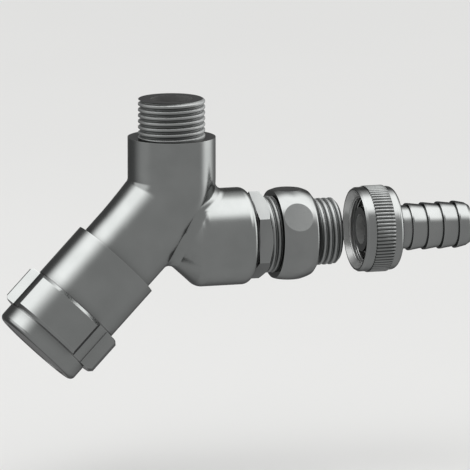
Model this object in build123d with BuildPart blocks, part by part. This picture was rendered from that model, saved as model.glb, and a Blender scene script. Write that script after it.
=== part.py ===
from build123d import *
import os
from math import cos, pi, radians, sin, sqrt, tan

os.makedirs("parts", exist_ok=True)

# Appliance valve: a Y-pattern body with a knob arm, a check valve and a hose union.
# Millimetres. The origin is the centre of the shoulder that meets the wall fitting,
# +Z runs out along the inlet thread and +X along the outlet.

# Clearances between pieces
runFit = 0.05  # radial, round pieces that turn or slide in each other
openFit = 0.35  # radial, round pieces that pass without touching
slideFit = 0.15  # per side, flat faces that slide
threadFit = 0.08  # radial, the union nut on the outlet's thread

# Body
threadR = 20.955 / 2  # G1/2 pipe thread, inlet and outlet
inletLength = 12.0
neckR = 13.75
threadChamfer = 0.4
bendR = 15.0  # of the bend below the neck, at its middle
kneeZ = -19.0  # where the knob's axis meets the inlet's
outletZ = -32.5
knobLean = 44.0  # of the knob's axis from straight down
armR = 13.15
armTaperEnd = 18.0
armEnd = 33.0  # along the knob's axis, from the knee
barrelR = 15.25
barrelStart = 7.3
barrelEnd = 24.6
barrelRound = 2.8
barrelBlend = 4.0  # where the tapered root turns into the barrel
creaseRound = 3.0
coneR = 5.4  # of the barrel's tapered root, inside the arm
coneStart = -3.5
inletBoreR = 6.5

# Seat and chamber, along the knob's axis from the knee
orificeR = 5.5
orificeStart = -2.0
chamberFloor = 8.0
seatHeight = 1.0
seatTop = chamberFloor + seatHeight
seatR = 7.0
chamberR = 9.0
passageR = 4.0
passageDrop = 2.5  # of the passage below the outlet's axis
passageStart = -5.0

# Bonnet
bonnetR = 10.0
bonnetDepth = 13.0  # of what sits in the arm
bonnetStart = armEnd - bonnetDepth
bonnetRelief = 0.5
bonnetHex = 22.0  # across flats
bonnetHexEnd = armEnd + 5.0
bonnetNoseR = 7.5
bonnetNoseEnd = bonnetHexEnd + 5.0
bonnetSeal = 0.9  # radius of the ring's section
bonnetSealR = bonnetR + 0.2
bonnetSealSeat = 2 * bonnetSeal

# Spindle
spindleR = 4.0
spindleScrewR = 3.5
collarR = 6.0
collarEnd = armEnd - 1.5
collarStart = collarEnd - 1.7
spindleScrewStart = collarStart - 10.5
splineStart = bonnetNoseEnd + 2.2
spindleEnd = splineStart + 7.8
splineTeeth = 20
splineDepth = 0.4
ringSection = 0.55  # radius of the section of the spindle's rings
ringPlaces = (armEnd + 1.5, armEnd + 4.5)
ringGroove = 1.4
ringGrooveDepth = 1.07
circlipStart = bonnetNoseEnd
circlipThick = 0.9
circlipR = 5.6
circlipGrooveR = 3.3
circlipGap = 2.6
cutPast = 1.0  # how far a cut runs past the face that it opens

# Plunger, its washer and the washer's screw
guideHex = 12.5  # across flats, of the bonnet's guide
washerThick = 3.0
washerR = 7.2
washerEnd = seatTop + washerThick
plungerHeadR = 8.2
plungerCupStart = washerEnd - 1.5
plungerHeadEnd = washerEnd + 1.6
plungerBoreStart = plungerHeadEnd + 0.9
plungerTop = plungerHeadEnd + 11.4
washerScrewR = 1.5
washerScrewHeadR = 3.0
washerScrewHead = 1.5
screwSlot = 0.9

# Handle
handleR = 15.0
handleCavityR = armR + openFit
handleCavityEnd = bonnetNoseEnd + 1.6
handleStart = handleCavityEnd - 18.4
lugR = 17.9
lugStart = handleCavityEnd + 0.9
lugEnd = lugStart + 12.5
lugCount = 3
lugSpan = 80.0
lugFlare = 13.0  # how much further round its foot reaches on each side
lugSink = 0.5  # of its foot below the handle's surface
lugTurn = -3.0  # of the first lug, from the lower right in the valve's plane
lugRound = 1.2
lugChamfer = 0.9
discR = handleR - 0.1
discRound = 1.6
handleEnd = lugEnd + 5.9
grooveDepth = 0.35
grooveWidth = 0.5
hubR = 8.4
insertHex = 12.0
insertEnd = spindleEnd + 0.6
pocketR = 13.0
pocketEnd = lugEnd - 0.5
ribWidth = 3.0
capR = 11.4
capStart = handleEnd - 3.0
capSink = 0.1
capThick = 1.4
screwWellR = 4.6
screwWellStart = insertEnd + 1.6
handleScrewR = 2.0
handleScrewHeadR = 3.8
handleScrewHead = 2.6
handleScrewStart = spindleEnd - 5.5

# Outlet nipple, along +X
spigotR = 10.0
spigotStart = barrelEnd - 8.6
spigotBoreStart = spigotStart - 1.5
nippleBoreR = 7.5
sealThick = 0.6
sealR = 12.3
hexFlats = 24.0
hexStart = barrelEnd + sealThick
hexEnd = hexStart + 4.3
nippleThreadR = 12.0

# Ball housing
ballR = 14.75
ballCentre = hexEnd + 8.3
nippleEnd = ballCentre + 1.1
ballStart = ballCentre - 5.0
ballEnd = ballCentre + 8.2
ballWaist = ballEnd - 1.8
ballLip = 0.4
ballBlend = 1.6
ballFlats = 28.0  # across opposite flats
flatCount = 6
ballThreadEnd = nippleEnd + 0.4
outletEnd = ballEnd + 7.3
outletChamfer = 1.0
outletBoreR = 7.2

# Check valve cartridge
cartridgeFit = 0.1  # radial, in the housing
flangeR = 11.1
flangeStart = nippleEnd + 1.1
flangeEnd = flangeStart + 0.9
collarRingR = 9.6
cartridgeR = 7.9
cartridgeEnd = flangeEnd + 9.4
checkOpenR = 5.0
checkBoreR = 7.0
guideR = 7.2
guideStart = cartridgeEnd - 1.4
guideHubR = 2.4
guideRimR = 6.0
spokeWidth = 1.4
spokeCount = 3
spokeOverlap = 1.0
poppetR = 5.7
poppetRing = 0.7  # radius of the ring's section
poppetRingR = 4.6
poppetNoseR = 4.5
poppetNoseChamfer = 1.0
poppetNoseSlope = 0.3
poppetNose = flangeEnd - 0.7
poppetGroove = poppetNose + 0.6
poppetDisc = poppetGroove + 2 * poppetRing
poppetBack = poppetDisc + 1.0
poppetStemR = 1.2
poppetStemEnd = cartridgeEnd + 0.2
springR = 3.2
springWireR = 0.25
springTurns = 5

# Hose union, pulled off the outlet as far as unionGap
unionGap = 6.7
nutStart = outletEnd + unionGap
nutEnd = nutStart + 12.5
nutR = 13.6
nutFrontR = 12.8
nutFrontRound = 0.7
nutShoulderR = 13.25
nutBackR = 13.0
nutBackRound = 1.8
nutMouthR = 12.3
nutMouth = 1.3
nutThreadR = threadR + threadFit
nutSeat = nutEnd - 4.1
nutHoleR = 7.6
knurlStart = nutStart + 3.2
knurlEnd = nutEnd - 3.1
knurlDepth = 0.35
knurlRidges = 72
tailFlange = 2.1
gasketR = 9.3
gasketThick = 1.8
gasketStart = nutSeat - tailFlange - gasketThick
tailBoreR = 4.7
tailNoseR = 6.9  # enters the outlet when the nut is tight
tailNoseStart = gasketStart - 2.7
tailFlangeR = 9.6
tailNeckR = 6.9
tailRootR = 6.8
crestFlat = 0.5
crestR = 7.45
crestStart = nutEnd + 4.5
crestPitch = 5.1
crestCount = 4
tailEnd = crestStart + 20.0
tailTipR = 6.1
tailTip = 1.2

knobDirection = (-sin(radians(knobLean)), 0, -cos(radians(knobLean)))
knobAcross = (cos(radians(knobLean)), 0, -sin(radians(knobLean)))
knee = (0, 0, kneeZ)
outletPoint = (0, 0, outletZ)

# Planes across each axis, with their normals along it
knobPlane = Plane(origin=knee, x_dir=knobAcross, z_dir=knobDirection)
outletPlane = Plane(origin=outletPoint, x_dir=(0, 1, 0), z_dir=(1, 0, 0))

# Planes through each axis, for turned profiles: x along the axis, y outwards
knobSection = Plane(origin=knee, x_dir=knobDirection, z_dir=(0, -1, 0))
outletSection = Plane(origin=outletPoint, x_dir=(1, 0, 0), z_dir=(0, -1, 0))


def turned(section, points, mode=Mode.ADD):
    """Turn a closed outline of (along, radius) points round a section's axis."""
    with BuildSketch(section) as outline:
        with BuildLine():
            Polyline(*points, close=True)
        make_face()
    revolve(outline.sketch, axis=Axis(section.origin, section.x_dir), mode=mode)


def ring(section, along, radius, wire):
    """Round-section ring, as of rubber."""
    with BuildSketch(section) as outline:
        with Locations((along, radius)):
            Circle(wire)
    revolve(outline.sketch, axis=Axis(section.origin, section.x_dir))


def bar(plane, start, end, radius, mode=Mode.ADD):
    """Round bar, or a bore with Mode.SUBTRACT."""
    with BuildSketch(plane.offset(start)) as outline:
        Circle(radius)
    extrude(outline.sketch, amount=end - start, mode=mode)


def hexBar(plane, start, end, flats, turn=0, mode=Mode.ADD):
    """Hexagonal bar or hole, by its width across flats."""
    with BuildSketch(plane.offset(start)) as outline:
        RegularPolygon(radius=flats / 2, side_count=6, major_radius=False, rotation=turn)
    extrude(outline.sketch, amount=end - start, mode=mode)


def finish(builder, name):
    builder.part.label = name
    export_step(builder.part, f"parts/{name}.step")


bendLength = bendR * tan(radians(knobLean / 2))  # from the knee to where the bend starts

with BuildPart() as valveBody:
    # Neck, bend and knob arm
    bar(Plane.XY, kneeZ + bendLength, 0, neckR)
    with BuildSketch(Plane.XY.offset(kneeZ + bendLength)):
        Circle(neckR)
    revolve(axis=Axis((-bendR, 0, kneeZ + bendLength), (0, 1, 0)), revolution_arc=knobLean)
    turned(
        knobSection,
        [(bendLength, 0), (bendLength, neckR), (armTaperEnd, armR), (armEnd, armR), (armEnd, 0)],
    )
    # Barrel with its tapered root, blended into the arm
    with BuildSketch(outletSection) as barrel:
        with BuildLine():
            Polyline(
                (coneStart, 0),
                (coneStart, coneR),
                (barrelStart, barrelR),
                (barrelEnd, barrelR),
                (barrelEnd, 0),
                close=True,
            )
        make_face()
        fillet(barrel.vertices().sort_by_distance((barrelStart, barrelR))[0], barrelBlend)
        fillet(barrel.vertices().sort_by_distance((barrelEnd, barrelR))[0], barrelRound)
    revolve(axis=Axis(outletPoint, (1, 0, 0)))
    creases = valveBody.edges(Select.NEW).filter_by(GeomType.BSPLINE)
    fillet(creases, creaseRound)
    # Inlet thread
    bar(Plane.XY, 0, inletLength, threadR)
    chamfer(valveBody.faces().sort_by(Axis.Z)[-1].edges(), threadChamfer)
    # Inlet bore, orifice, seat and chamber
    bar(Plane.XY, kneeZ - cutPast, inletLength, inletBoreR, Mode.SUBTRACT)
    bar(knobPlane, orificeStart, seatTop, orificeR, Mode.SUBTRACT)
    bar(knobPlane, seatTop, armEnd, chamberR, Mode.SUBTRACT)
    turned(
        knobSection,
        [(chamberFloor, seatR), (chamberFloor, chamberR), (seatTop, chamberR), (seatTop, seatR)],
        Mode.SUBTRACT,
    )
    bar(knobPlane, bonnetStart - bonnetRelief, armEnd, bonnetR, Mode.SUBTRACT)
    bar(knobPlane, armEnd - bonnetSealSeat, armEnd, bonnetSealR + bonnetSeal, Mode.SUBTRACT)
    # Passage to the barrel and the barrel's threaded mouth
    with BuildSketch(outletPlane.offset(passageStart)):
        with Locations((0, -passageDrop)):
            Circle(passageR)
    extrude(amount=spigotBoreStart - passageStart, mode=Mode.SUBTRACT)
    bar(outletPlane, spigotBoreStart, barrelEnd, spigotR, Mode.SUBTRACT)
finish(valveBody, "valve_body")

with BuildPart() as bonnet:
    bar(knobPlane, bonnetStart, armEnd - bonnetSealSeat, bonnetR)
    bar(knobPlane, armEnd - bonnetSealSeat, armEnd, bonnetSealR - bonnetSeal)
    hexBar(knobPlane, armEnd, bonnetHexEnd, bonnetHex)
    bar(knobPlane, bonnetHexEnd, bonnetNoseEnd, bonnetNoseR)
    hexBar(knobPlane, bonnetStart, collarEnd, guideHex, mode=Mode.SUBTRACT)
    bar(knobPlane, collarEnd, bonnetNoseEnd, spindleR + runFit, Mode.SUBTRACT)
finish(bonnet, "bonnet")

with BuildPart() as bonnetRing:
    ring(knobSection, armEnd - bonnetSeal, bonnetSealR, bonnetSeal)
finish(bonnetRing, "bonnet_o_ring")

# Spindle: screw, collar, two ring grooves, circlip groove and spline
splinePitch = 2 * pi * spindleR / splineTeeth

with BuildPart() as spindle:
    bar(knobPlane, spindleScrewStart, collarStart, spindleScrewR)
    bar(knobPlane, collarStart, collarEnd, collarR)
    bar(knobPlane, collarEnd, splineStart, spindleR)
    for place in ringPlaces:
        turned(
            knobSection,
            [
                (place - ringGroove / 2, spindleR - ringGrooveDepth),
                (place - ringGroove / 2, spindleR + cutPast),
                (place + ringGroove / 2, spindleR + cutPast),
                (place + ringGroove / 2, spindleR - ringGrooveDepth),
            ],
            Mode.SUBTRACT,
        )
    turned(
        knobSection,
        [
            (circlipStart, circlipGrooveR),
            (circlipStart, spindleR + cutPast),
            (circlipStart + circlipThick, spindleR + cutPast),
            (circlipStart + circlipThick, circlipGrooveR),
        ],
        Mode.SUBTRACT,
    )
    with BuildSketch(knobPlane.offset(splineStart)):
        Circle(spindleR)
        with PolarLocations(spindleR, splineTeeth):
            Rectangle(2 * splineDepth, splinePitch / 2, mode=Mode.SUBTRACT)
    extrude(amount=spindleEnd - splineStart)
    bar(knobPlane, handleScrewStart - cutPast, spindleEnd, handleScrewR, Mode.SUBTRACT)
finish(spindle, "spindle")

with BuildPart() as spindleRings:
    for place in ringPlaces:
        ring(knobSection, place, spindleR - ringGrooveDepth + ringSection, ringSection)
finish(spindleRings, "spindle_o_rings")

with BuildPart() as circlip:
    with BuildSketch(knobPlane.offset(circlipStart)):
        Circle(circlipR)
        Circle(circlipGrooveR, mode=Mode.SUBTRACT)
        with Locations((circlipR, 0)):
            Rectangle(circlipR, circlipGap, mode=Mode.SUBTRACT)
    extrude(amount=circlipThick)
finish(circlip, "spindle_circlip")

with BuildPart() as plunger:
    bar(knobPlane, plungerCupStart, plungerHeadEnd, plungerHeadR)
    hexBar(knobPlane, plungerHeadEnd, plungerTop, guideHex - 2 * slideFit)
    bar(knobPlane, plungerCupStart, washerEnd, washerR, Mode.SUBTRACT)
    bar(knobPlane, washerEnd, plungerHeadEnd, washerScrewR, Mode.SUBTRACT)
    bar(knobPlane, plungerBoreStart, plungerTop, spindleScrewR + runFit, Mode.SUBTRACT)
finish(plunger, "plunger")

with BuildPart() as seatWasher:
    bar(knobPlane, seatTop, washerEnd, washerR)
    bar(knobPlane, seatTop, washerEnd, washerScrewR, Mode.SUBTRACT)
finish(seatWasher, "seat_washer")

with BuildPart() as washerScrew:
    bar(knobPlane, seatTop - washerScrewHead, seatTop, washerScrewHeadR)
    bar(knobPlane, seatTop, plungerHeadEnd, washerScrewR)
    with BuildSketch(knobPlane.offset(seatTop - washerScrewHead)):
        Rectangle(3 * washerScrewHeadR, screwSlot)
    extrude(amount=screwSlot, mode=Mode.SUBTRACT)
finish(washerScrew, "washer_screw")

# Knob: skirt over the arm, three lugs, rounded end and a hub on ribs
lugFace = lugR - lugChamfer

with BuildPart() as lugs:
    with BuildSketch(knobPlane.offset(lugStart)) as lugOutline:
        for number in range(lugCount):
            lugMiddle = lugTurn + 360 * number / lugCount
            with BuildLine():
                lugArc = CenterArc((0, 0), lugR, lugMiddle - lugSpan / 2, lugSpan)
                foot = CenterArc(
                    (0, 0),
                    handleR - lugSink,
                    lugMiddle - lugSpan / 2 - lugFlare,
                    lugSpan + 2 * lugFlare,
                    mode=Mode.PRIVATE,
                )
                Polyline(lugArc @ 0, foot @ 0, (0, 0), foot @ 1, lugArc @ 1)
            make_face()
        fillet(lugOutline.vertices().filter_by(lambda v: Vector(v).length > handleR), lugRound)
    extrude(amount=lugEnd - lugStart)
    turned(
        knobSection,
        [
            (lugStart, 0),
            (lugStart, lugFace),
            (lugStart + lugChamfer, lugR),
            (lugEnd - lugChamfer, lugR),
            (lugEnd, lugFace),
            (lugEnd, 0),
        ],
        Mode.INTERSECT,
    )

with BuildPart() as handle:
    bar(knobPlane, handleStart, lugEnd, handleR)
    bar(knobPlane, lugEnd, handleEnd, discR)
    discRim = handle.faces().sort_by(Axis(knee, knobDirection))[-1].edges()
    fillet(discRim, discRound)
    for groove in (lugStart - grooveWidth, lugEnd):
        turned(
            knobSection,
            [
                (groove, handleR - grooveDepth),
                (groove, handleR + cutPast),
                (groove + grooveWidth, handleR + cutPast),
                (groove + grooveWidth, handleR - grooveDepth),
            ],
            Mode.SUBTRACT,
        )
    add(lugs.part)
    bar(knobPlane, handleStart, handleCavityEnd, handleCavityR, Mode.SUBTRACT)
    with BuildSketch(knobPlane.offset(handleCavityEnd)):
        Circle(pocketR)
        Circle(hubR, mode=Mode.SUBTRACT)
        with PolarLocations(pocketR / 2, lugCount, start_angle=lugTurn):
            Rectangle(pocketR + cutPast, ribWidth, mode=Mode.SUBTRACT)
    extrude(amount=pocketEnd - handleCavityEnd, mode=Mode.SUBTRACT)
    hexBar(knobPlane, handleCavityEnd, insertEnd, insertHex, mode=Mode.SUBTRACT)
    bar(knobPlane, insertEnd, screwWellStart, handleScrewR + openFit, Mode.SUBTRACT)
    bar(knobPlane, screwWellStart, capStart, screwWellR, Mode.SUBTRACT)
    bar(knobPlane, capStart, handleEnd, capR, Mode.SUBTRACT)
finish(handle, "handle")

with BuildPart() as insert:
    hexBar(knobPlane, handleCavityEnd, insertEnd, insertHex)
    with BuildSketch(knobPlane.offset(handleCavityEnd)):
        Circle(spindleR)
        with PolarLocations(spindleR, splineTeeth):
            Rectangle(2 * splineDepth, splinePitch / 2 - runFit, mode=Mode.SUBTRACT)
    extrude(amount=insertEnd - handleCavityEnd, mode=Mode.SUBTRACT)
    bar(knobPlane, handleCavityEnd, splineStart, spindleR + runFit, Mode.SUBTRACT)
finish(insert, "handle_insert")

with BuildPart() as handleScrew:
    bar(knobPlane, handleScrewStart, screwWellStart, handleScrewR)
    bar(knobPlane, screwWellStart, screwWellStart + handleScrewHead, handleScrewHeadR)
    with BuildSketch(knobPlane.offset(screwWellStart + handleScrewHead)):
        Rectangle(3 * handleScrewHeadR, screwSlot)
    extrude(amount=-screwSlot, mode=Mode.SUBTRACT)
finish(handleScrew, "handle_screw")

with BuildPart() as cap:
    bar(knobPlane, capStart, handleEnd - capSink, capR)
    chamfer(cap.faces().sort_by(Axis(knee, knobDirection))[-1].edges(), capSink)
    bar(knobPlane, capStart, handleEnd - capThick, capR - capThick, Mode.SUBTRACT)
finish(cap, "handle_cap")

# Outlet nipple: spigot, hexagon with its corners turned off, and a thread
hexCorner = hexFlats / 2 / cos(radians(30))
hexBevel = (hexCorner - hexFlats / 2) * tan(radians(30))
hexTurn = 30.0  # so that a corner points up

with BuildPart() as nipple:
    hexBar(outletPlane, hexStart, hexEnd, hexFlats, turn=hexTurn)
    turned(
        outletSection,
        [
            (hexStart, 0),
            (hexStart, hexCorner),
            (hexEnd - hexBevel, hexCorner),
            (hexEnd, hexFlats / 2),
            (hexEnd, 0),
        ],
        Mode.INTERSECT,
    )
    bar(outletPlane, spigotStart, hexStart, spigotR)
    bar(outletPlane, hexEnd, nippleEnd, nippleThreadR)
    bar(outletPlane, spigotStart, nippleEnd, nippleBoreR, Mode.SUBTRACT)
finish(nipple, "outlet_nipple")

with BuildPart() as nippleSeal:
    bar(outletPlane, barrelEnd, hexStart, sealR)
    bar(outletPlane, barrelEnd, hexStart, spigotR, Mode.SUBTRACT)
finish(nippleSeal, "nipple_seal")


def ballRadius(along):
    return sqrt(ballR**2 - (along - ballCentre) ** 2)


with BuildPart() as ball:
    with BuildSketch(outletSection):
        with BuildLine():
            sphere = ThreePointArc(
                (ballStart, ballRadius(ballStart)),
                (ballCentre, ballR),
                (ballWaist, ballRadius(ballWaist)),
            )
            Polyline(
                sphere @ 1,
                (ballEnd, threadR + ballLip),
                (ballEnd, threadR),
                (outletEnd - outletChamfer, threadR),
                (outletEnd, threadR - outletChamfer),
                (outletEnd, 0),
                (ballStart, 0),
                sphere @ 0,
            )
        make_face()
        fillet(vertices().sort_by_distance(sphere @ 1)[0], ballBlend)
    revolve(axis=Axis(outletPoint, (1, 0, 0)))
    # Wrench flats, cut square to six radii, one straight up
    for number in range(flatCount):
        angle = radians(90 + 360 * number / flatCount)
        outward = (0, cos(angle), sin(angle))
        flatCentre = (ballCentre, ballFlats / 2 * cos(angle), outletZ + ballFlats / 2 * sin(angle))
        with BuildSketch(Plane(origin=flatCentre, x_dir=(1, 0, 0), z_dir=outward)):
            Circle(ballR / 2)
        extrude(amount=ballR, mode=Mode.SUBTRACT)
    bar(outletPlane, ballStart, ballThreadEnd, nippleThreadR, Mode.SUBTRACT)
    bar(outletPlane, ballThreadEnd, flangeEnd, flangeR + cartridgeFit, Mode.SUBTRACT)
    bar(outletPlane, flangeEnd, cartridgeEnd, cartridgeR + cartridgeFit, Mode.SUBTRACT)
    bar(outletPlane, cartridgeEnd, outletEnd, outletBoreR, Mode.SUBTRACT)
finish(ball, "ball_housing")

# Check valve cartridge and what it holds
seatDepth = checkBoreR - checkOpenR

with BuildPart() as cartridge:
    turned(
        outletSection,
        [
            (nippleEnd, checkOpenR),
            (nippleEnd, collarRingR),
            (flangeStart, collarRingR),
            (flangeStart, flangeR),
            (flangeEnd, flangeR),
            (flangeEnd, cartridgeR),
            (cartridgeEnd, cartridgeR),
            (cartridgeEnd, guideR),
            (guideStart, guideR),
            (guideStart, checkBoreR),
            (flangeEnd + seatDepth, checkBoreR),
            (flangeEnd, checkOpenR),
        ],
    )
finish(cartridge, "cartridge_body")

with BuildPart() as cartridgeRing:
    sealWire = (flangeStart - nippleEnd) / 2
    ring(outletSection, nippleEnd + sealWire, collarRingR + sealWire, sealWire)
finish(cartridgeRing, "cartridge_o_ring")

with BuildPart() as poppet:
    turned(
        outletSection,
        [
            (poppetNose, 0),
            (poppetNose, poppetNoseR - poppetNoseChamfer),
            (poppetNose + poppetNoseSlope, poppetNoseR),
            (poppetGroove, poppetNoseR),
            (poppetGroove, poppetRingR - poppetRing),
            (poppetDisc, poppetRingR - poppetRing),
            (poppetDisc, poppetR),
            (poppetBack, poppetR),
            (poppetBack, poppetStemR),
            (poppetStemEnd, poppetStemR),
            (poppetStemEnd, 0),
        ],
    )
finish(poppet, "check_poppet")

with BuildPart() as poppetSeal:
    ring(outletSection, (poppetGroove + poppetDisc) / 2, poppetRingR, poppetRing)
finish(poppetSeal, "poppet_seal")

with BuildPart() as guide:
    with BuildSketch(outletPlane.offset(guideStart)):
        Circle(guideR)
        Circle(guideRimR, mode=Mode.SUBTRACT)
        Circle(guideHubR)
        with PolarLocations((guideRimR + guideHubR) / 2, spokeCount, start_angle=90):
            Rectangle(guideRimR - guideHubR + spokeOverlap, spokeWidth)
        Circle(poppetStemR + runFit, mode=Mode.SUBTRACT)
    extrude(amount=cartridgeEnd - guideStart)
finish(guide, "check_guide")

with BuildPart() as checkSpring:
    springLength = guideStart - poppetBack - 2 * springWireR
    with BuildLine() as coil:
        Helix(
            springLength / springTurns,
            springLength,
            springR,
            center=(poppetBack + springWireR, 0, outletZ),
            direction=(1, 0, 0),
        )
    with BuildSketch(coil.line ^ 0):
        Circle(springWireR)
    sweep()
finish(checkSpring, "check_spring")

# Hose union: knurled nut, gasket and barbed tail
with BuildPart() as nut:
    with BuildSketch(outletSection) as nutOutline:
        with BuildLine():
            Polyline(
                (nutStart, 0),
                (nutStart, nutFrontR),
                (nutStart + nutFrontRound, nutShoulderR),
                (knurlStart, nutR - knurlDepth),
                (knurlEnd, nutR - knurlDepth),
                (nutEnd, nutBackR),
                (nutEnd, 0),
                close=True,
            )
        make_face()
        fillet(nutOutline.vertices().sort_by_distance((nutEnd, nutBackR))[0], nutBackRound)
    revolve(axis=Axis(outletPoint, (1, 0, 0)))
    knurlPitch = 2 * pi * nutR / knurlRidges
    with BuildSketch(outletPlane.offset(knurlStart)):
        Circle(nutR)
        with PolarLocations(nutR, knurlRidges):
            Rectangle(2 * knurlDepth, knurlPitch / 2, mode=Mode.SUBTRACT)
    extrude(amount=knurlEnd - knurlStart)
    turned(
        outletSection,
        [(nutStart, 0), (nutStart, nutMouthR), (nutStart + nutMouth, nutThreadR), (nutStart + nutMouth, 0)],
        Mode.SUBTRACT,
    )
    bar(outletPlane, nutStart + nutMouth, nutSeat, nutThreadR, Mode.SUBTRACT)
    bar(outletPlane, nutSeat, nutEnd, nutHoleR, Mode.SUBTRACT)
finish(nut, "union_nut")

with BuildPart() as gasket:
    bar(outletPlane, gasketStart, gasketStart + gasketThick, gasketR)
    bar(outletPlane, gasketStart, gasketStart + gasketThick, tailNoseR, Mode.SUBTRACT)
finish(gasket, "union_gasket")

with BuildPart() as tail:
    tailStart = gasketStart + gasketThick
    barbs = []
    for number in range(crestCount):
        crest = crestStart + number * crestPitch
        barbs += [(crest, tailRootR), (crest, crestR), (crest + crestFlat, crestR)]
    turned(
        outletSection,
        [
            (tailNoseStart, 0),
            (tailNoseStart, tailNoseR),
            (tailStart, tailNoseR),
            (tailStart, tailFlangeR),
            (nutSeat, tailFlangeR),
            (nutSeat, tailNeckR),
            (crestStart - crestPitch / 2, tailNeckR),
        ]
        + barbs
        + [(tailEnd - tailTip, tailRootR), (tailEnd, tailTipR), (tailEnd, 0)],
    )
    bar(outletPlane, tailNoseStart, tailEnd, tailBoreR, Mode.SUBTRACT)
finish(tail, "hose_tail")
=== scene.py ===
from math import cos, pi, radians, sin

import bmesh
import bpy
import numpy as np
from mathutils import Matrix, Vector


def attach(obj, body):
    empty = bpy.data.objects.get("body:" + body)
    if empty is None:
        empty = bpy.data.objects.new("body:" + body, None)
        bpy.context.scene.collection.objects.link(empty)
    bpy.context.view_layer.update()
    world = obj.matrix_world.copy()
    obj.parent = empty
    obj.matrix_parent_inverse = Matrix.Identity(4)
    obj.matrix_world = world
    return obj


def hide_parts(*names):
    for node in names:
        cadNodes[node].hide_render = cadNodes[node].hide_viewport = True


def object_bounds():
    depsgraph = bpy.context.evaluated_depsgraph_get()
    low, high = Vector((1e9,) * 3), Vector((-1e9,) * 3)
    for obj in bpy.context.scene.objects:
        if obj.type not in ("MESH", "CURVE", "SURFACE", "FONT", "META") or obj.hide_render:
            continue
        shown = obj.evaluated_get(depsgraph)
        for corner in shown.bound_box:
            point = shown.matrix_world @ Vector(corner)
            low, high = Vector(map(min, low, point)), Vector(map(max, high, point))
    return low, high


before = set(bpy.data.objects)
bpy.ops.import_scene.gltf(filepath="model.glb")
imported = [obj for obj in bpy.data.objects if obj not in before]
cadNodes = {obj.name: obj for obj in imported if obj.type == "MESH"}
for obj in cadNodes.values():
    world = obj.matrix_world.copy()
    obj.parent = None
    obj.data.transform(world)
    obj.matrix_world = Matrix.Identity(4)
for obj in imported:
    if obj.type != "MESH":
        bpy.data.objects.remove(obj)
cadLow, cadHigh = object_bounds()
mm = 0.001
outletZ = -32.5  # height of the outlet's axis, mm
kneeZ = -19.0  # where the knob's axis meets the inlet's, mm
knobLean = 44.0  # of the knob's axis from straight down, degrees
pipePitch = 25.4 / 14  # of both pipe threads, mm
hair = 0.001  # mm, so that a face that ends on a limit is on one side of it
print("frame loaded:", len(cadNodes), "nodes")

# The solids are plain where the threads and the knurl are, so the skins below carry the turns.
# Lengths are in millimetres. A groove's shares are of half a pitch, from the groove's middle.
inletThread = {
    "axis": "z",
    "start": 0.0,
    "end": 12.0,
    "radius": 10.4775,
    "depth": 0.8,
    "pitch": pipePitch,
    "groove": 10.9 - pipePitch / 4,  # middle of a groove at angle zero
    "grooveFloor": 0.06,
    "grooveWidth": 0.75,
    "runIn": 0.3,
    "chamfer": 0.12,
    "bore": 6.5,
    "inner": 6.52,  # faces nearer the axis stay as they are
    "step": 0.06,
    "around": 144,
}
outletThread = {
    "axis": "x",
    "start": 46.0,
    "end": 53.3,
    "radius": 10.4775,
    "depth": 0.8,
    "pitch": pipePitch,
    "groove": 47.1,
    "grooveFloor": 0.06,
    "grooveWidth": 0.75,
    "runIn": 0.5,
    "chamfer": 1.0,
    "bore": 7.2,
    "inner": 7.22,
    "step": 0.06,
    "around": 144,
}
nippleThread = {
    "axis": "x",
    "start": 29.5,
    "end": 38.9,
    "radius": 12.0,
    "depth": 0.7,
    "pitch": 1.7,
    "groove": 30.2,
    "grooveFloor": 0.06,
    "grooveWidth": 0.75,
    "runIn": 0.3,
    "chamfer": 0.3,
    "bore": 7.5,
    "inner": 7.52,
    "step": 0.06,
    "around": 120,
}
nutKnurl = {
    "axis": "x",
    "start": 63.2,
    "end": 69.4,
    "radius": 13.6,
    "depth": 0.35,
    "ridges": 72,
    "sharpness": 1.2,
    "runIn": 0.12,
    "bore": 0.0,  # the nut's inside has no lining of its own
    "inner": 13.2,
    "aroundEach": 8,
}
liningLength = 12.0  # of the bore that shows its own finish, behind the thread's start
liningEdge = 0.02


def placed(axis, radius, angle, along):
    # points round the inlet's axis or the outlet's, in metres
    if axis == "z":
        return np.stack([radius * np.cos(angle), radius * np.sin(angle), along], -1) * mm
    return np.stack([along, radius * np.cos(angle), radius * np.sin(angle) + outletZ], -1) * mm


def threadRadius(thread, angle, along):
    turns = (along - thread["groove"]) / thread["pitch"] - angle / (2 * pi)
    fromGroove = np.abs(turns - np.round(turns)) * 2  # 0 in the groove, 1 on the crest
    floor = thread["grooveFloor"]
    flank = np.clip((fromGroove - floor) / (thread["grooveWidth"] - floor), 0, 1)
    flank = flank * flank * (3 - 2 * flank)
    runIn = np.clip((along - thread["start"]) / thread["runIn"], 0, 1)
    radius = thread["radius"] - thread["depth"] * runIn * (1 - flank)
    chamfered = thread["radius"] + thread["end"] - thread["chamfer"] - along
    return np.minimum(radius, np.maximum(chamfered, thread["radius"] - thread["chamfer"]))


def ringFaces(rows, around, first=0, closed=False):
    # quads between rows of points, each row closed on itself
    row = np.arange(rows if closed else rows - 1)[:, None] * around
    column = np.arange(around)[None, :]
    after = (column + 1) % around
    nextRow = (row + around) % (rows * around)
    corners = [row + column, row + after, nextRow + after, nextRow + column]
    return (np.stack(corners, -1).reshape(-1, 4) + first).tolist()


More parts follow.
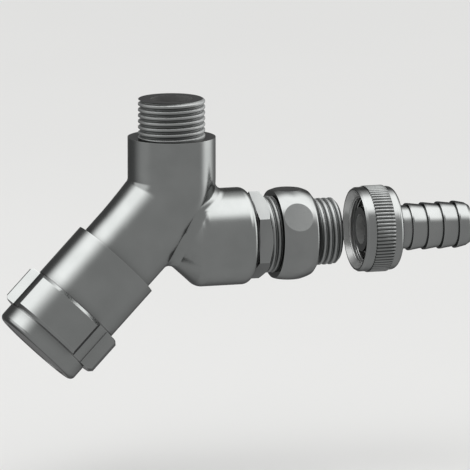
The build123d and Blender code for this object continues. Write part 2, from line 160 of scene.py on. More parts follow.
def threadSkin(thread):
    # the turned outside and, with its own points, the end face down to the bore
    along = np.arange(thread["start"], thread["end"], thread["step"])
    along = np.append(along, thread["end"])
    angle = np.arange(thread["around"]) * 2 * pi / thread["around"]
    alongGrid, angleGrid = np.meshgrid(along, angle, indexing="ij")
    radiusGrid = threadRadius(thread, angleGrid, alongGrid)
    outside = placed(thread["axis"], radiusGrid, angleGrid, alongGrid)
    endAngle = np.stack([angle, angle])
    endRadius = np.stack([radiusGrid[-1], np.full(thread["around"], thread["bore"])])
    end = placed(thread["axis"], endRadius, endAngle, np.full(endRadius.shape, thread["end"]))
    points = np.concatenate([outside.reshape(-1, 3), end.reshape(-1, 3)])
    turned = ringFaces(len(along), thread["around"])
    cut = ringFaces(2, thread["around"], first=outside.size // 3)
    return points, turned + cut, [1] * len(turned) + [0] * len(cut)


def knurlSkin(knurl):
    # straight rounded ridges along the nut
    length = knurl["end"] - knurl["start"]
    along = np.array([0, knurl["runIn"], length - knurl["runIn"], length]) + knurl["start"]
    count = knurl["ridges"] * knurl["aroundEach"]
    angle = np.arange(count) * 2 * pi / count
    alongGrid, angleGrid = np.meshgrid(along, angle, indexing="ij")
    ridge = np.abs(np.cos(angleGrid * knurl["ridges"] / 2)) ** knurl["sharpness"]
    ridge[[0, -1]] = 0
    radiusGrid = knurl["radius"] - knurl["depth"] * (1 - ridge)
    faces = ringFaces(len(along), len(angle))
    points = placed(knurl["axis"], radiusGrid, angleGrid, alongGrid)
    return points.reshape(-1, 3), faces, [1] * len(faces)


def shownPiece(name, body, mesh):
    mesh.polygons.foreach_set("use_smooth", np.ones(len(mesh.polygons), bool))
    piece = bpy.data.objects.new(name, mesh)
    bpy.context.scene.collection.objects.link(piece)
    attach(piece, body)
    return piece


def reskinned(name, node, body, cut, skin):
    # the node's own faces away from the cut's stretch, with their normals, and the skin there
    source = cadNodes[node].data
    points = np.zeros(len(source.vertices) * 3, np.float32)
    source.vertices.foreach_get("co", points)
    points = points.reshape(-1, 3)
    corners = np.zeros(len(source.loops), np.int32)
    source.loops.foreach_get("vertex_index", corners)
    corners = corners.reshape(-1, 3)
    normals = np.array([n.vector for n in source.corner_normals]).reshape(-1, 3, 3)
    middle = points[corners].mean(1) / mm
    if cut["axis"] == "z":
        along, radius = middle[:, 2], np.hypot(middle[:, 0], middle[:, 1])
    else:
        along, radius = middle[:, 0], np.hypot(middle[:, 1], middle[:, 2] - outletZ)
    stretch = (along > cut["start"] + hair) & (along < cut["end"] + hair)
    kept = ~(stretch & (radius > cut["inner"]))
    lining = (radius < cut["bore"] + liningEdge) & (along > cut["start"] - liningLength)
    used, corners = np.unique(corners[kept], return_inverse=True)
    skinPoints, skinFaces, skinSlots = skin
    faces = corners.reshape(-1, 3).tolist()
    faces += [[corner + len(used) for corner in face] for face in skinFaces]
    mesh = bpy.data.meshes.new(name)
    mesh.from_pydata(np.concatenate([points[used], skinPoints]).tolist(), [], faces)
    slots = np.concatenate([lining[kept] * 2, skinSlots]).astype(np.int32)
    mesh.polygons.foreach_set("material_index", slots)
    piece = shownPiece(name, body, mesh)
    plainNormals = np.zeros((len(skinFaces) * 4, 3))  # zero keeps the smooth normal
    ownNormals = normals[kept].reshape(-1, 3)
    mesh.normals_split_custom_set(np.concatenate([ownNormals, plainNormals]).tolist())
    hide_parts(node)
    return piece


valveCasting = reskinned("valve_casting", "valve_body", "valve", inletThread, threadSkin(inletThread))
ballShell = reskinned("ball_shell", "ball_housing", "valve", outletThread, threadSkin(outletThread))
nippleHex = reskinned("nipple_hex", "outlet_nipple", "valve", nippleThread, threadSkin(nippleThread))
nutShell = reskinned("nut_shell", "union_nut", "nut", nutKnurl, knurlSkin(nutKnurl))

nutThread = {
    "start": 61.35,
    "end": 64.4,
    "bore": 10.5575,
    "clearance": 0.12,  # radial, from the outlet's thread when the nut is on it
    "fade": 0.5,
    "buried": 0.3,
    "step": 0.06,
    "around": 144,
}
endless = 1000.0  # mm, past any thread's end


def nutRidge(name):
    # the nut's thread lies on the outlet thread's own helix, so that the two mesh as it turns
    along = np.arange(nutThread["start"], nutThread["end"], nutThread["step"])
    angle = np.arange(nutThread["around"]) * 2 * pi / nutThread["around"]
    alongGrid, angleGrid = np.meshgrid(along, angle, indexing="ij")
    helix = dict(outletThread, start=-endless, end=endless)
    radius = threadRadius(helix, angleGrid, alongGrid) + nutThread["clearance"]
    fromEnd = np.minimum(alongGrid - along[0], along[-1] - alongGrid)
    share = np.clip(fromEnd / nutThread["fade"], 0, 1)
    radius = nutThread["bore"] - (nutThread["bore"] - radius).clip(0) * share
    buriedRing = np.full((1, nutThread["around"]), nutThread["bore"] + nutThread["buried"])
    radius = np.concatenate([buriedRing, radius, buriedRing])
    alongGrid = np.concatenate([alongGrid[:1], alongGrid, alongGrid[-1:]])
    angleGrid = np.concatenate([angleGrid[:1], angleGrid, angleGrid[-1:]])
    points = placed("x", radius, angleGrid, alongGrid).reshape(-1, 3)
    faces = [face[::-1] for face in ringFaces(len(radius), nutThread["around"], closed=True)]
    mesh = bpy.data.meshes.new(name)
    mesh.from_pydata(points.tolist(), [], faces)
    return shownPiece(name, "nut", mesh)


nutThreadRidge = nutRidge("nut_thread")
print("threads and knurl cut")


def addNode(tree, kind, spot, **settings):
    made = tree.nodes.new(kind)
    made.location = spot
    for name, value in settings.items():
        setattr(made, name, value)
    return made


def calculate(tree, operation, spot, *values, **settings):
    # a math node from numbers and other nodes' values
    made = addNode(tree, "ShaderNodeMath", spot, operation=operation, **settings)
    for socket, value in zip(made.inputs, values):
        if isinstance(value, (int, float)):
            socket.default_value = value
        else:
            tree.links.new(value, socket)
    return made.outputs["Value"]


def ranged(tree, value, spot, to=(0, 1), source=(0, 1), **settings):
    # a value spread from one range to another
    spread = addNode(tree, "ShaderNodeMapRange", spot, **settings)
    limits = {"From Min": source[0], "From Max": source[1], "To Min": to[0], "To Max": to[1]}
    for label, limit in limits.items():
        if isinstance(limit, (int, float)):
            spread.inputs[label].default_value = limit
        else:
            tree.links.new(limit, spread.inputs[label])
    tree.links.new(value, spread.inputs["Value"])
    return spread.outputs["Result"]


def mixColour(tree, share, first, second, spot):
    # each colour is three numbers or another node's colour
    mixed = addNode(tree, "ShaderNodeMix", spot, data_type="RGBA")
    for label, colour in (("A", first), ("B", second)):
        if isinstance(colour, tuple):
            mixed.inputs[label].default_value = (*colour, 1)
        else:
            tree.links.new(colour, mixed.inputs[label])
    tree.links.new(share, mixed.inputs["Factor"])
    return mixed.outputs["Result"]


def newEffect(name, inputs, outputs):
    group = bpy.data.node_groups.new(name, "ShaderNodeTree")
    for label, kind, value in inputs:
        socket = group.interface.new_socket(label, in_out="INPUT", socket_type=kind)
        if value is not None:
            socket.default_value = value
    for label in outputs:
        group.interface.new_socket(label, in_out="OUTPUT", socket_type="NodeSocketFloat")
    start = addNode(group, "NodeGroupInput", (-900, 0))
    end = addNode(group, "NodeGroupOutput", (900, 0))
    return group, start.outputs, end.inputs


def useEffect(tree, effect, spot, **values):
    made = addNode(tree, "ShaderNodeGroup", spot, node_tree=effect)
    for label, value in values.items():
        made.inputs[label.replace("_", " ")].default_value = value
    return made


mottleLook = {
    "cloudScale": 110.0,
    "cloudDetail": 3,
    "cloudSpread": (0.32, 0.68),
    "peelScale": 2600.0,
    "peelDetail": 2,
}


def makePlatingMottle():
    # slow cloudiness of a plated surface and its fine orange peel
    group, given, result = newEffect(
        "platingMottle",
        [
            ("Vector", "NodeSocketVector", None),
            ("Cloud Scale", "NodeSocketFloat", mottleLook["cloudScale"]),
            ("Peel Scale", "NodeSocketFloat", mottleLook["peelScale"]),
        ],
        ["Cloud", "Height"],
    )
    noises = []
    for name, spot in (("cloud", (-500, 150)), ("peel", (-500, -200))):
        noise = addNode(group, "ShaderNodeTexNoise", spot)
        noise.inputs["Detail"].default_value = mottleLook[name + "Detail"]
        group.links.new(given["Vector"], noise.inputs["Vector"])
        group.links.new(given[name.capitalize() + " Scale"], noise.inputs["Scale"])
        noises.append(noise.outputs["Fac"])
    cloudy = ranged(group, noises[0], (-150, 150), source=mottleLook["cloudSpread"])
    group.links.new(cloudy, result["Cloud"])
    group.links.new(noises[1], result["Height"])
    return group


latheLook = {
    "lines": 5200.0,
    "lineDetail": 2,
    "streaks": 700.0,
    "insideFrom": (-0.3, -0.6),  # how far a face is turned to the axis, as a cosine
}


def makeLatheMarks():
    # fine rings round a turned piece's axis, on its sides and on its end faces
    group, given, result = newEffect(
        "latheMarks",
        [
            ("Vector", "NodeSocketVector", None),
            ("Axis Point", "NodeSocketVector", None),
            ("Axis Direction", "NodeSocketVector", None),
            ("Lines", "NodeSocketFloat", latheLook["lines"]),
        ],
        ["Height", "Streak", "Radius", "Inside"],
    )
    away = addNode(group, "ShaderNodeVectorMath", (-700, 100), operation="SUBTRACT")
    along = addNode(group, "ShaderNodeVectorMath", (-520, -60), operation="DOT_PRODUCT")
    onAxis = addNode(group, "ShaderNodeVectorMath", (-340, -60), operation="SCALE")
    aside = addNode(group, "ShaderNodeVectorMath", (-160, 60), operation="SUBTRACT")
    radius = addNode(group, "ShaderNodeVectorMath", (0, 60), operation="LENGTH")
    flat = addNode(group, "ShaderNodeCombineXYZ", (160, 0))
    group.links.new(given["Vector"], away.inputs[0])
    group.links.new(given["Axis Point"], away.inputs[1])
    group.links.new(away.outputs["Vector"], along.inputs[0])
    group.links.new(given["Axis Direction"], along.inputs[1])
    group.links.new(given["Axis Direction"], onAxis.inputs[0])
    group.links.new(along.outputs["Value"], onAxis.inputs["Scale"])
    group.links.new(away.outputs["Vector"], aside.inputs[0])
    group.links.new(onAxis.outputs["Vector"], aside.inputs[1])
    group.links.new(aside.outputs["Vector"], radius.inputs[0])
    group.links.new(along.outputs["Value"], flat.inputs["X"])
    group.links.new(radius.outputs["Value"], flat.inputs["Y"])
    lines = addNode(group, "ShaderNodeTexNoise", (340, 120), noise_dimensions="2D")
    lines.inputs["Detail"].default_value = latheLook["lineDetail"]
    group.links.new(given["Lines"], lines.inputs["Scale"])
    streaks = addNode(group, "ShaderNodeTexNoise", (340, -160), noise_dimensions="2D")
    streaks.inputs["Scale"].default_value = latheLook["streaks"]
    for noise, label in ((lines, "Height"), (streaks, "Streak")):
        group.links.new(flat.outputs["Vector"], noise.inputs["Vector"])
        group.links.new(noise.outputs["Fac"], result[label])
    group.links.new(radius.outputs["Value"], result["Radius"])
    # faces turned towards the axis, as in a bore
    outward = addNode(group, "ShaderNodeVectorMath", (0, -260), operation="NORMALIZE")
    true = addNode(group, "ShaderNodeNewGeometry", (0, -400))
    facing = addNode(group, "ShaderNodeVectorMath", (180, -320), operation="DOT_PRODUCT")
    group.links.new(aside.outputs["Vector"], outward.inputs[0])
    group.links.new(outward.outputs["Vector"], facing.inputs[0])
    group.links.new(true.outputs["Normal"], facing.inputs[1])
    inside = ranged(group, facing.outputs["Value"], (380, -360), source=latheLook["insideFrom"])
    group.links.new(inside, result["Inside"])
    return group


# the painted edge highlight: how wide an edge counts, and how strongly
edgeHighlightLook = {
    "width": 0.35,  # mm
    "gain": 5.0,
    "samples": 4,
}


def makeEdgeMask():
    # 1 on outside edges and corners, for a painted highlight that lightens the colour there
    gainInput = ("Gain", "NodeSocketFloat", edgeHighlightLook["gain"])
    group, given, result = newEffect("edgeHighlightMask", [gainInput], ["Edge"])
    rounded = addNode(group, "ShaderNodeBevel", (-600, 100), samples=edgeHighlightLook["samples"])
    rounded.inputs["Radius"].default_value = edgeHighlightLook["width"] * mm
    true = addNode(group, "ShaderNodeNewGeometry", (-600, -150))
    match = addNode(group, "ShaderNodeVectorMath", (-350, 0), operation="DOT_PRODUCT")
    group.links.new(rounded.outputs["Normal"], match.inputs[0])
    group.links.new(true.outputs["Normal"], match.inputs[1])
    lack = calculate(group, "SUBTRACT", (-150, 0), 1, match.outputs["Value"])
    gained = calculate(group, "MULTIPLY", (50, 0), lack, given["Gain"], use_clamp=True)
    group.links.new(gained, result["Edge"])
    return group


# the painted crease shade: how far it looks for nearby surfaces, and how dark it gets
creaseShadeLook = {
    "reach": 3.5,  # mm
    "samples": 8,
    "openFrom": (0.35, 0.95),
    "least": 0.6,
}


def makeCreaseShadeMask():
    # 1 in the open and less in creases and steps: painted shade, the colour darkened where ambient
    # occlusion finds nearby surfaces
    leastInput = ("Least", "NodeSocketFloat", creaseShadeLook["least"])
    group, given, result = newEffect("creaseShadeMask", [leastInput], ["Open"])
    nearby = addNode(group, "ShaderNodeAmbientOcclusion", (-400, 0), samples=creaseShadeLook["samples"])
    nearby.inputs["Distance"].default_value = creaseShadeLook["reach"] * mm
    clear = nearby.outputs["AO"]
    opened = ranged(group, clear, (-150, 0), source=creaseShadeLook["openFrom"], to=(given["Least"], 1))
    group.links.new(opened, result["Open"])
    return group


platingMottle = makePlatingMottle()
latheMarks = makeLatheMarks()
edgeHighlightMask = makeEdgeMask()
creaseShadeMask = makeCreaseShadeMask()
print("effects built")

# Each finish: the low and high of its cloudy colour, the colour of its painted edge highlight, its
# reflection at the rim, its roughness low and high, the heights of its orange peel and lathe marks in
# metres, whose axis it was turned on, and how metallic it is. Some have a thread root painted darker
# between two radii in millimetres as painted shade, a paler and duller inside, or painted shade in their
# creases.
fullRim = (1, 1, 1, 1)
dimRim = (0.5, 0.5, 0.5, 1)
castChrome = {
    "colour": ((0.172, 0.178, 0.175), (0.19, 0.196, 0.193)),
    "edgeHighlight": (0.26, 0.265, 0.262),
    "rim": dimRim,
    "rough": (0.15, 0.19),
    "peel": 2.5e-6,
    "marks": 0.0,
    "axis": "inlet",
    "metal": 1,
    "creaseShade": 0.6,
}
turnedChrome = {
    "colour": ((0.17, 0.175, 0.173), (0.192, 0.197, 0.194)),
    "edgeHighlight": (0.27, 0.275, 0.272),
    "rim": dimRim,
    "rough": (0.14, 0.18),
    "peel": 1e-6,
    "marks": 1.2e-6,
    "axis": "outlet",
    "metal": 1,
    "inside": (0.42, 0.425, 0.42),
    "insideMetal": 0.5,
    "creaseShade": 0.6,
}
knobChrome = {
    "colour": ((0.17, 0.176, 0.173), (0.186, 0.192, 0.189)),
    "edgeHighlight": (0.25, 0.255, 0.252),
    "rim": dimRim,
    "rough": (0.14, 0.18),
    "peel": 1.5e-6,
    "marks": 0.6e-6,
    "axis": "knob",
    "metal": 1,
    "creaseShade": 0.5,
}
outletThreadChrome = {
    "colour": ((0.195, 0.201, 0.198), (0.215, 0.221, 0.218)),
    "edgeHighlight": (0.23, 0.235, 0.232),
    "rim": fullRim,
    "rough": (0.42, 0.5),
    "peel": 1e-6,
    "marks": 0.0,
    "axis": "outlet",
    "metal": 1,
    # painted shade in the thread's roots
    "root": (0.12, 0.124, 0.122),
    "grooved": (9.7, 10.3),
}
inletThreadChrome = dict(outletThreadChrome, axis="inlet", rough=(0.46, 0.54))
nippleThreadChrome = dict(outletThreadChrome, grooved=(11.32, 11.85))
knurlChrome = {
    "colour": ((0.17, 0.175, 0.173), (0.192, 0.197, 0.194)),
    "edgeHighlight": (0.2, 0.205, 0.202),
    "rim": fullRim,
    "rough": (0.3, 0.38),
    "peel": 1e-6,
    "marks": 0.0,
    "axis": "outlet",
    "metal": 1,
    # painted shade in the knurl's grooves
    "root": (0.03, 0.032, 0.031),
    "grooved": (13.27, 13.62),
}
boreBrass = {
    "colour": ((0.12, 0.121, 0.119), (0.14, 0.141, 0.139)),
    "edgeHighlight": (0.16, 0.16, 0.158),
    "rim": fullRim,
    "rough": (0.5, 0.62),
    "peel": 4e-6,
    "marks": 3e-6,
    "axis": "inlet",
    "metal": 0.3,
}
knobBrass = {
    "colour": ((0.62, 0.42, 0.17), (0.72, 0.51, 0.23)),
    "edgeHighlight": (0.8, 0.62, 0.33),
    "rim": fullRim,
    "rough": (0.25, 0.36),
    "peel": 2e-6,
    "marks": 4e-6,
    "axis": "knob",
    "metal": 1,
}
springSteel = {
    "colour": ((0.5, 0.5, 0.49), (0.6, 0.6, 0.59)),
    "edgeHighlight": (0.7, 0.7, 0.69),
    "rim": fullRim,
    "rough": (0.24, 0.34),
    "peel": 2e-6,
    "marks": 2e-6,
    "axis": "knob",
    "metal": 1,
}
sealRubber = {
    "colour": ((0.016, 0.016, 0.017), (0.03, 0.03, 0.031)),
    "edgeHighlight": (0.05, 0.05, 0.05),
    "rim": fullRim,
    "rough": (0.5, 0.68),
    "peel": 8e-6,
    "marks": 0.0,
    "axis": "outlet",
    "metal": 0,
}
gasketFibre = {
    "colour": ((0.14, 0.142, 0.141), (0.19, 0.192, 0.191)),
    "edgeHighlight": (0.2, 0.2, 0.2),
    "rim": fullRim,
    "rough": (0.6, 0.75),
    "peel": 2e-5,
    "marks": 0.0,
    "axis": "outlet",
    "metal": 0,
}
checkPlastic = {
    "colour": ((0.68, 0.68, 0.66), (0.76, 0.76, 0.74)),
    "edgeHighlight": (0.82, 0.82, 0.8),
    "rim": fullRim,
    "rough": (0.34, 0.46),
    "peel": 5e-6,
    "marks": 0.0,
    "axis": "outlet",
    "metal": 0,
}
finishes = {
    "castChrome": castChrome,
    "turnedChrome": turnedChrome,
    "knobChrome": knobChrome,
    "inletThreadChrome": inletThreadChrome,
    "outletThreadChrome": outletThreadChrome,
    "nippleThreadChrome": nippleThreadChrome,
    "knurlChrome": knurlChrome,
    "boreBrass": boreBrass,
    "knobBrass": knobBrass,
    "springSteel": springSteel,
    "sealRubber": sealRubber,
    "gasketFibre": gasketFibre,
    "checkPlastic": checkPlastic,
}
axes = {
    "inlet": ((0, 0, 0), (0, 0, 1)),
    "outlet": ((0, 0, outletZ * mm), (1, 0, 0)),
    "knob": ((0, 0, kneeZ * mm), (-sin(radians(knobLean)), 0, -cos(radians(knobLean)))),
}
roughnessShare = 0.5  # of the streaks and of the cloudiness alike


def newMaterial(name):
    material = bpy.data.materials.new(name)
    material.use_nodes = True
    tree = material.node_tree
    tree.nodes.clear()
    output = addNode(tree, "ShaderNodeOutputMaterial", (1100, 0))
    surface = addNode(tree, "ShaderNodeBsdfPrincipled", (800, 0))
    tree.links.new(surface.outputs["BSDF"], output.inputs["Surface"])
    place = addNode(tree, "ShaderNodeTexCoord", (-900, 0))
    return material, tree, surface, place.outputs["Object"]


def finishColour(tree, look, mottle, marks):
    # painted highlight: the colour lightened on outside edges and corners
    edgeHighlight = useEffect(tree, edgeHighlightMask, (-650, -500)).outputs["Edge"]
    colour = mixColour(tree, mottle["Cloud"], *look["colour"], (-250, 250))
    colour = mixColour(tree, edgeHighlight, colour, look["edgeHighlight"], (0, 200))
    # painted shade: a darker colour in the roots of threads and knurl, by radius
    if "root" in look:
        grooved = [radius * mm for radius in look["grooved"]]
        crest = ranged(tree, marks["Radius"], (-250, 450), source=grooved, interpolation_type="SMOOTHSTEP")
        colour = mixColour(tree, crest, look["root"], colour, (200, 300))
    if "inside" in look:
        colour = mixColour(tree, marks["Inside"], colour, look["inside"], (200, 300))
    # painted shade: the colour darkened in creases and steps
    if "creaseShade" in look:
        opened = useEffect(tree, creaseShadeMask, (200, 500), Least=look["creaseShade"]).outputs["Open"]
        shaded = addNode(tree, "ShaderNodeVectorMath", (400, 300), operation="SCALE")
        tree.links.new(colour, shaded.inputs[0])
        tree.links.new(opened, shaded.inputs["Scale"])
        colour = shaded.outputs["Vector"]
    return colour


def finishRoughness(tree, look, mottle, marks):
    streaky = calculate(tree, "MULTIPLY", (-420, -50), marks["Streak"], roughnessShare)
    cloudy = calculate(tree, "MULTIPLY", (-420, 80), mottle["Cloud"], roughnessShare)
    uneven = calculate(tree, "ADD", (-250, -50), streaky, cloudy, use_clamp=True)
    return ranged(tree, uneven, (0, -50), to=look["rough"])


def raised(tree, height, distance, spot, under=None):
    # a bump of a height in metres, on another one where there is one
    bump = addNode(tree, "ShaderNodeBump", spot)
    bump.inputs["Strength"].default_value = 1
    bump.inputs["Distance"].default_value = distance
    tree.links.new(height, bump.inputs["Height"])
    if under:
        tree.links.new(under, bump.inputs["Normal"])
    return bump.outputs["Normal"]


def makeFinish(name):
    look = finishes[name]
    material, tree, surface, place = newMaterial(name)
    point, direction = axes[look["axis"]]
    mottleNode = useEffect(tree, platingMottle, (-650, 200))
    marksNode = useEffect(tree, latheMarks, (-650, -150), Axis_Point=point, Axis_Direction=direction)
    for effect in (mottleNode, marksNode):
        tree.links.new(place, effect.inputs["Vector"])
    mottle, marks = mottleNode.outputs, marksNode.outputs
    tree.links.new(finishColour(tree, look, mottle, marks), surface.inputs["Base Color"])
    tree.links.new(finishRoughness(tree, look, mottle, marks), surface.inputs["Roughness"])
    normal = raised(tree, mottle["Height"], look["peel"], (100, -300))
    if look["marks"]:
        normal = raised(tree, marks["Height"], look["marks"], (300, -300), normal)
    tree.links.new(normal, surface.inputs["Normal"])
    surface.inputs["Specular Tint"].default_value = look["rim"]
    surface.inputs["Metallic"].default_value = look["metal"]
    if "insideMetal" in look:
        duller = ranged(tree, marks["Inside"], (300, -600), to=(look["metal"], look["insideMetal"]))
        tree.links.new(duller, surface.inputs["Metallic"])
    return material


materials = {name: makeFinish(name) for name in finishes}

# Which finish is on each piece, in the order of its slots
dressing = [
    (valveCasting, ["castChrome", "inletThreadChrome", "boreBrass"]),
    (ballShell, ["turnedChrome", "outletThreadChrome", "turnedChrome"]),
    (nippleHex, ["turnedChrome", "nippleThreadChrome", "turnedChrome"]),
    (nutShell, ["turnedChrome", "knurlChrome", "turnedChrome"]),
    (nutThreadRidge, ["turnedChrome"]),
]
nodeFinishes = {
    "turnedChrome": ["hose_tail"],
    "knobChrome": ["handle", "handle_cap"],
    "knobBrass": ["bonnet", "spindle", "plunger", "handle_insert"],
    "springSteel": ["handle_screw", "washer_screw", "spindle_circlip", "check_spring"],
    "sealRubber": [
        "bonnet_o_ring",
        "spindle_o_rings",
        "seat_washer",
        "nipple_seal",
        "cartridge_o_ring",
        "poppet_seal",
    ],
    "gasketFibre": ["union_gasket"],
    "checkPlastic": ["cartridge_body", "check_poppet", "check_guide"],
}
for piece, slots in dressing:
    for finish in slots:
        piece.data.materials.append(materials[finish])
for finish, names in nodeFinishes.items():
    for name in names:
        cadNodes[name].data.materials[0] = materials[finish]
print("finishes set:", ", ".join(finishes))

# The photograph's parallel view, as a very long lens. Angles in degrees, the rest in millimetres.
camera = {
    "turned": 17.1,
    "raised": 10.0,
    "lens": 1000.0,
    "sensor": 36.0,
    "frameWidth": 146.875,  # across the picture
    "right": 19.766,
    "up": 1.3125,
    "reference": -5.0,  # how far nearer than the outlet's start the frame width is true
    "clip": (0.1, 60),  # metres
}
turned, raisedBy = radians(camera["turned"]), radians(camera["raised"])
right = Vector((cos(turned), -sin(turned), 0))
up = Vector((sin(raisedBy) * sin(turned), sin(raisedBy) * cos(turned), cos(raisedBy)))
back = Vector((-sin(turned) * cos(raisedBy), -cos(turned) * cos(raisedBy), sin(raisedBy)))
forward = Vector((-sin(turned), -cos(turned), 0))  # level, towards the camera

cameraData = bpy.data.cameras.new("photoCamera")
cameraData.lens = camera["lens"]
cameraData.sensor_width = camera["sensor"]
cameraData.clip_start, cameraData.clip_end = camera["clip"]
distance = camera["frameWidth"] * camera["lens"] / camera["sensor"] + camera["reference"]
aim = Vector((0, 0, outletZ)) + right * camera["right"] + up * camera["up"]
facing = Matrix((right, up, back)).transposed().to_4x4()
photoCamera = bpy.data.objects.new("photoCamera", cameraData)
photoCamera.matrix_world = Matrix.Translation((aim + back * distance) * mm) @ facing
bpy.context.scene.collection.objects.link(photoCamera)
bpy.context.scene.camera = photoCamera
print("camera placed")

# A pale floor, metres
floorLook = {
    "drop": 0.035,  # below the part
    "size": 9,
    "segments": 8,
    "colour": ((0.8, 0.8, 0.79), (0.816, 0.816, 0.8058)),
    "cloudScale": 3,
    "peelScale": 400,
    "rough": 0.9,
}


def makeFloor():
    build = bmesh.new()
    segments = floorLook["segments"]
    bmesh.ops.create_grid(build, x_segments=segments, y_segments=segments, size=floorLook["size"])
    mesh = bpy.data.meshes.new("floor")
    build.to_mesh(mesh)
    build.free()
    floor = bpy.data.objects.new("floor", mesh)
    floor.location.z = cadLow.z - floorLook["drop"]
    bpy.context.scene.collection.objects.link(floor)
    material, tree, surface, place = newMaterial("paleFloor")
    scales = {"Cloud_Scale": floorLook["cloudScale"], "Peel_Scale": floorLook["peelScale"]}
    mottle = useEffect(tree, platingMottle, (-400, 100), **scales)
    tree.links.new(place, mottle.inputs["Vector"])
    colour = mixColour(tree, mottle.outputs["Cloud"], *floorLook["colour"], (0, 100))
    tree.links.new(colour, surface.inputs["Base Color"])
    surface.inputs["Roughness"].default_value = floorLook["rough"]
    surface.inputs["Specular IOR Level"].default_value = 0
    mesh.materials.append(material)
    floor.visible_glossy = False


makeFloor()


def aimed(azimuth, elevation):
    # azimuth from the camera towards its right, elevation above level, in degrees
    level = forward * cos(radians(azimuth)) + right * sin(radians(azimuth))
    return level * cos(radians(elevation)) + Vector((0, 0, 1)) * sin(radians(elevation))


# One large lamp for the rubber, the plastic and the floor's shadow
lampLook = {
    "size": 0.9,
    "power": 3.0,
    "direction": (-35, 62),
    "distance": 1.1,
    "target": (0.015, 0, -0.03),
}


def makeLamp():
    data = bpy.data.lights.new("keyLamp", "AREA")
    data.shape = "RECTANGLE"
    data.size = data.size_y = lampLook["size"]
    data.energy = lampLook["power"]
    lamp = bpy.data.objects.new("keyLamp", data)
    direction = aimed(*lampLook["direction"])
    lamp.location = Vector(lampLook["target"]) + direction * lampLook["distance"]
    lamp.rotation_euler = direction.to_track_quat("Z", "Y").to_euler()
    lamp.visible_camera = False
    lamp.visible_glossy = False
    bpy.context.scene.collection.objects.link(lamp)


makeLamp()

studio = {
    "room": 0.88,  # the plain pale room, as all but shiny surfaces see it
    "mirrored": 0.84,  # what shiny surfaces see where there is no softbox
    "softboxGlow": 4.5,
    "darkSide": 0.28,
}
# Where each softbox starts to glow, is full, is still full and ends, in degrees: azimuth from its
# middle, which is given from the camera towards its right, and elevation above level
allRound = (-999, -998, 998, 999)
softboxes = {
    "overhead": {
        "middle": 0,
        "azimuth": allRound,
        "elevation": (48, 74, 98, 99),
        "share": 1,
    },
    "front": {
        "middle": 50,
        "azimuth": (-45, -18, 40, 60),
        "elevation": (43, 63, 98, 99),
        "share": 0.95,
    },
    "left": {
        "middle": -85,
        "azimuth": (-55, -10, 12, 65),
        "elevation": (20, 40, 98, 99),
        "share": 1,
    },
    "leftLow": {
        "middle": -88,
        "azimuth": (-30, -18, 18, 36),
        "elevation": (-12, 6, 30, 40),
        "share": 0.42,
    },
    "right": {
        "middle": 100,
        "azimuth": (-58, -38, 42, 78),
        "elevation": (20, 46, 98, 99),
        "share": 1,
    },
    "rightLow": {
        "middle": 108,
        "azimuth": (-27, -3, 6, 40),
        "elevation": (-32, 5, 60, 70),
        "share": 0.94,
    },
}
darkSide = {
    "middle": 200,
    "azimuth": (-50, -34, 44, 78),
    "elevation": (-60, -25, 30, 48),
    "share": 1,
}
halfTurn = 180


def makeSoftWindow():
    # 1 inside a range and 0 outside it, with soft ends
    labels = ("Value", "Start", "Full", "Still Full", "End")
    inputs = [(label, "NodeSocketFloat", None) for label in labels]
    group, given, result = newEffect("softWindow", inputs, ["Mask"])
    rise, fall = [
        ranged(
            group,
            given["Value"],
            (-300, spot),
            source=(given[low], given[high]),
            to=to,
            interpolation_type="SMOOTHSTEP",
        )
        for low, high, to, spot in (("Start", "Full", (0, 1), 150), ("Still Full", "End", (1, 0), -150))
    ]
    group.links.new(calculate(group, "MULTIPLY", (0, 0), rise, fall), result["Mask"])
    return group


softWindow = makeSoftWindow()


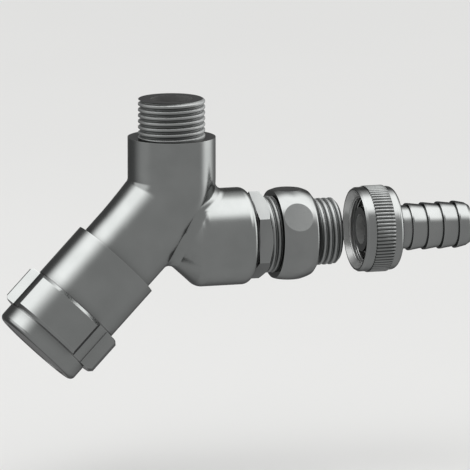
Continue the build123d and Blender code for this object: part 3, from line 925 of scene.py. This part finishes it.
def boxMask(tree, box, azimuth, elevation, spot):
    fromMiddle = calculate(tree, "SUBTRACT", (-450, spot), azimuth, box["middle"])
    wrapped = calculate(tree, "WRAP", (-300, spot), fromMiddle, halfTurn, -halfTurn)
    masks = []
    for number, (value, name) in enumerate(((wrapped, "azimuth"), (elevation, "elevation"))):
        limits = dict(zip(("Start", "Full", "Still_Full", "End"), box[name]))
        window = useEffect(tree, softWindow, (-100, spot - 80 * number), **limits)
        tree.links.new(value, window.inputs["Value"])
        masks.append(window.outputs["Mask"])
    both = calculate(tree, "MULTIPLY", (100, spot), *masks)
    return calculate(tree, "MULTIPLY", (250, spot), both, box["share"])


def makeWorld():
    world = bpy.data.worlds.new("studioWorld")
    world.use_nodes = True
    tree = world.node_tree
    tree.nodes.clear()
    output = addNode(tree, "ShaderNodeOutputWorld", (1400, 0))
    sky = addNode(tree, "ShaderNodeBackground", (1200, 0))
    sky.inputs["Color"].default_value = (1, 1, 1, 1)
    tree.links.new(sky.outputs["Background"], output.inputs["Surface"])
    place = addNode(tree, "ShaderNodeTexCoord", (-1200, 0)).outputs["Generated"]
    parts = []
    for number, direction in enumerate((right, forward, Vector((0, 0, 1)))):
        part = addNode(tree, "ShaderNodeVectorMath", (-1000, 200 - 200 * number), operation="DOT_PRODUCT")
        part.inputs[1].default_value = direction
        tree.links.new(place, part.inputs[0])
        parts.append(part.outputs["Value"])
    around = calculate(tree, "ARCTAN2", (-800, 200), parts[0], parts[1])
    azimuth = calculate(tree, "DEGREES", (-650, 200), around)
    above = calculate(tree, "ARCSINE", (-800, -200), parts[2])
    elevation = calculate(tree, "DEGREES", (-650, -200), above)
    glowing = 0
    for number, box in enumerate(softboxes.values()):
        height = 900 - 250 * number
        mask = boxMask(tree, box, azimuth, elevation, height)
        glowing = calculate(tree, "MAXIMUM", (450, height), glowing, mask)
    shade = boxMask(tree, darkSide, azimuth, elevation, -700)
    dim = ranged(tree, shade, (500, -500), to=(studio["mirrored"], studio["darkSide"]))
    lit = ranged(tree, glowing, (700, 0), to=(dim, studio["softboxGlow"]))
    # only shiny surfaces see the softboxes, all else a plain pale room
    glossy = addNode(tree, "ShaderNodeLightPath", (700, 300)).outputs["Is Glossy Ray"]
    seen = ranged(tree, glossy, (950, 0), to=(studio["room"], lit))
    tree.links.new(seen, sky.inputs["Strength"])
    return world


bpy.context.scene.world = makeWorld()
bpy.context.scene.view_settings.view_transform = "Standard"
print("studio lit")
